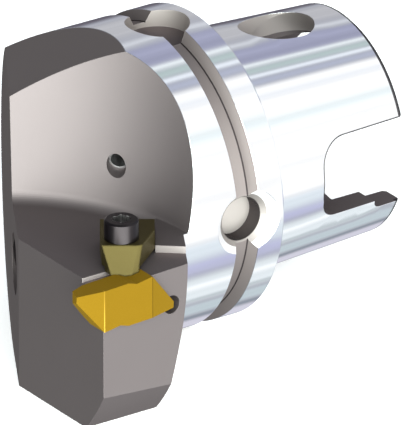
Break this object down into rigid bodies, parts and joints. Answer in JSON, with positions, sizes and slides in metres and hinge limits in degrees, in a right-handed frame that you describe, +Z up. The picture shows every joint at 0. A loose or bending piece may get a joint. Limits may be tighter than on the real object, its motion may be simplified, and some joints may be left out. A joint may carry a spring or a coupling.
{
  "type": "threading and grooving tool holder",
  "caption": "Modular turning head with a taper shank, a gripper flange, a chip scoop and a clamped grooving insert.",
  "frame": {"origin": "on the shank axis at the gauge face of the flange", "axes": "+X along the shank out of its open end, +Z up out of the clamp side, the insert is on the -Y side of the head"},
  "size_m": [0.0905, 0.0736, 0.063],
  "materials": {
    "steel_body": "ground shank and flange, dark satin head",
    "gold_coating": "gold coated carbide",
    "olive_clamp": "olive coated steel",
    "black_steel": "black oxide",
    "spring_steel": "plain spring steel",
    "nozzle_steel": "plain turned steel"
  },
  "bodies": {
    "holder": {"cutting_unit": "steel_body", "insert": "gold_coating", "coolant_nozzle": "nozzle_steel", "coolant_plug": "black_steel"},
    "clamp": {"clamp": "olive_clamp"},
    "screw": {"clamp_screw": "black_steel", "retaining_ring": "spring_steel"}
  },
  "joints": [
    {"name": "clamp_lift", "type": "slide", "parent": "holder", "child": "clamp", "axis": [0, 0, 1], "range_m": [0, 0.0028]},
    {"name": "screw_turn", "type": "hinge", "parent": "clamp", "child": "screw", "pos_m": [-0.0389, -0.032, 0.005], "axis": [0, 0, 1], "range_deg": [0, 1441]}
  ],
  "couplings": [
    {"joint": "screw_turn", "follows": "clamp_lift", "rad_per_m": 8976}
  ]
}
